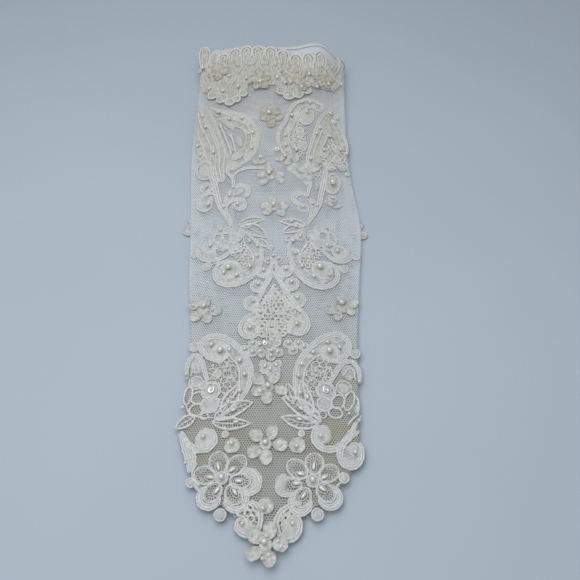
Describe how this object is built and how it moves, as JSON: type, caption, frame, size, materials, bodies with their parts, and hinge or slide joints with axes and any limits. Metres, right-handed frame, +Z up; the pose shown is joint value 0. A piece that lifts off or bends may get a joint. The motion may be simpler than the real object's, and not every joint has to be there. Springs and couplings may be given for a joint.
{
  "type": "lace bridal glove",
  "caption": "Fingerless elbow-length bridal glove of sheer tulle with corded lace, pearls and organza flowers, a point over the hand, and a finger loop.",
  "frame": {"origin": "middle of the underside of the glove's box as it lies flat", "axes": "+Y from the point over the middle finger to the arm opening, +Z up through the back of the hand, +X to the right seen from the point"},
  "size_m": [0.1213, 0.3848, 0.0279],
  "materials": {
    "tulle": "sheer ivory hexagonal net",
    "corded_lace": "ivory embroidered lace outlined with satin cord",
    "organza": "crisp sheer organza petals with a soft sheen",
    "elastic": "narrow ribbed elastic",
    "satin": "satin binding and ribbon",
    "pearl": "nacre-coated pearl beads"
  },
  "bodies": {
    "glove": {"arm_band": "elastic", "arm_flower": "organza", "arm_flower_pearl": "pearl", "arm_paisley_left_inner": "corded_lace", "arm_paisley_left_outer": "corded_lace", "arm_paisley_right_inner": "corded_lace", "arm_paisley_right_outer": "corded_lace", "arm_scroll_left": "corded_lace", "arm_scroll_right": "corded_lace", "arm_trim_left": "corded_lace", "arm_trim_right": "corded_lace", "bead_drop": "corded_lace", "centre_teardrop": "corded_lace", "forearm_flower_high": "organza", "forearm_flower_high_pearl": "pearl", "forearm_flower_low": "organza", "forearm_flower_low_pearl": "pearl", "hand_flower": "organza", "hand_flower_pearl": "pearl", "hand_paisley_left": "corded_lace", "hand_paisley_right": "corded_lace", "hand_pearl_left": "pearl", "hand_pearl_right": "pearl", "hand_scroll_left": "corded_lace", "hand_scroll_right": "corded_lace", "knuckle_flower": "organza", "knuckle_flower_pearl": "pearl", "mid_paisley_left": "corded_lace", "mid_paisley_right": "corded_lace", "mid_pearl_left": "pearl", "mid_pearl_right": "pearl", "mid_scroll_left": "corded_lace", "mid_scroll_right": "corded_lace", "palm_hem": "satin", "point_flower": "organza", "point_flower_pearl": "pearl", "point_scroll_left": "corded_lace", "point_scroll_right": "corded_lace", "round_petal_centre": "corded_lace", "round_petal_left": "corded_lace", "round_petal_right": "corded_lace", "side_flower_left": "organza", "side_flower_right": "organza", "side_scroll_left": "corded_lace", "side_scroll_right": "corded_lace", "six_petal_flower_left": "corded_lace", "six_petal_flower_right": "corded_lace", "trim_flower_left": "organza", "trim_flower_middle": "organza", "trim_flower_outer": "organza", "trim_flower_right": "organza", "tulle_sleeve": "tulle", "underarm_seam": "satin", "wrist_flower_left": "organza", "wrist_flower_left_pearl": "pearl", "wrist_flower_right": "organza", "wrist_flower_right_pearl": "pearl"},
    "finger_loop": {"finger_loop": "satin"}
  },
  "joints": [
    {"name": "finger_loop_swing", "type": "hinge", "parent": "glove", "child": "finger_loop", "pos_m": [0.002, -0.1846, 0.00045], "axis": [-1, 0, 0], "range_deg": [0, 180]}
  ]
}
